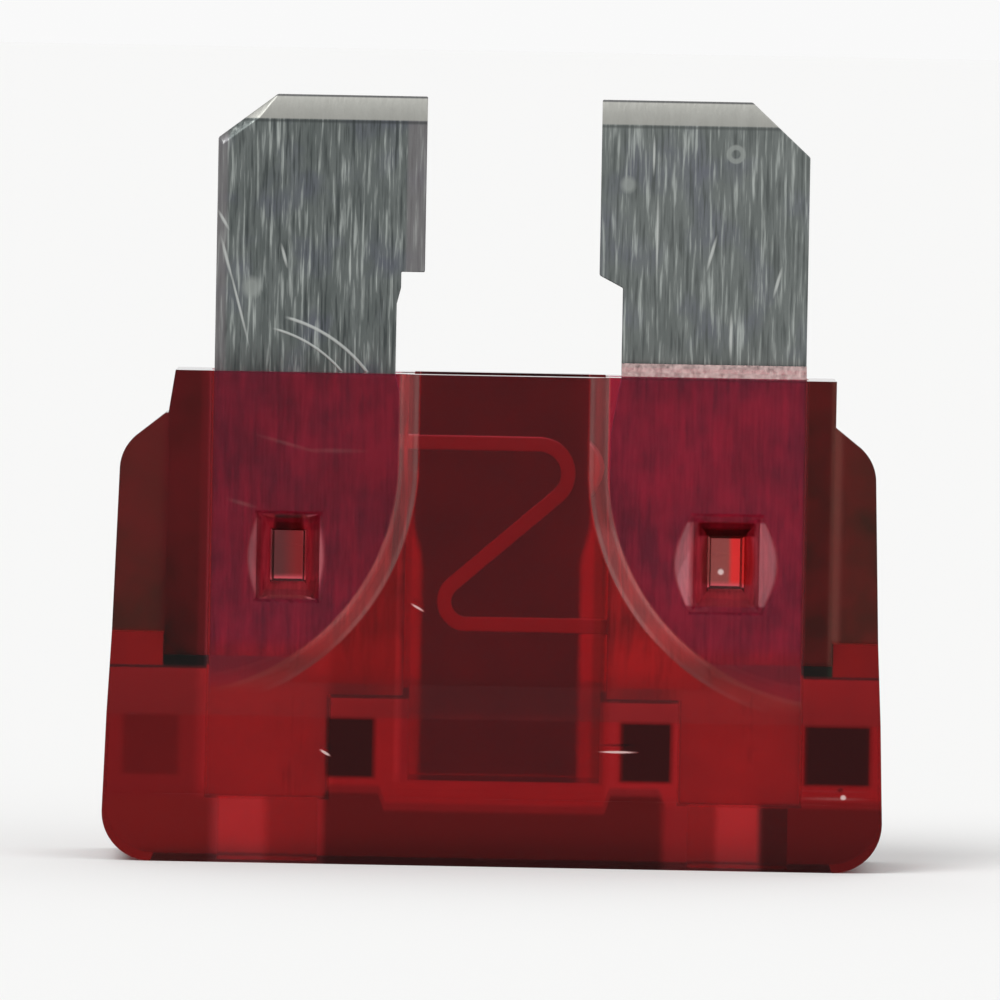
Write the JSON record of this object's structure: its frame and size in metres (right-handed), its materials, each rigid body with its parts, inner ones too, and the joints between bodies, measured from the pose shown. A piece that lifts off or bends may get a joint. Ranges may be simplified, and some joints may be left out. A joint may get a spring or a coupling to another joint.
{
  "type": "automotive blade fuse",
  "caption": "Blade fuse: clear red one-piece housing with a wide head, and a stamped zinc strip whose two blades are joined by a bent fusible link.",
  "frame": {"origin": "centre of the head's outer face, on which the fuse stands", "axes": "+X across the two blades, +Y to the back, +Z from the head's outer face up to the blade tips"},
  "size_m": [0.019, 0.0052, 0.0188],
  "materials": {
    "red_plastic": "transparent, moulded, glossy",
    "zinc": "dull rolled zinc, scratched"
  },
  "bodies": {
    "root": {"housing": "red_plastic", "fuse_strip": "zinc"}
  },
  "joints": []
}
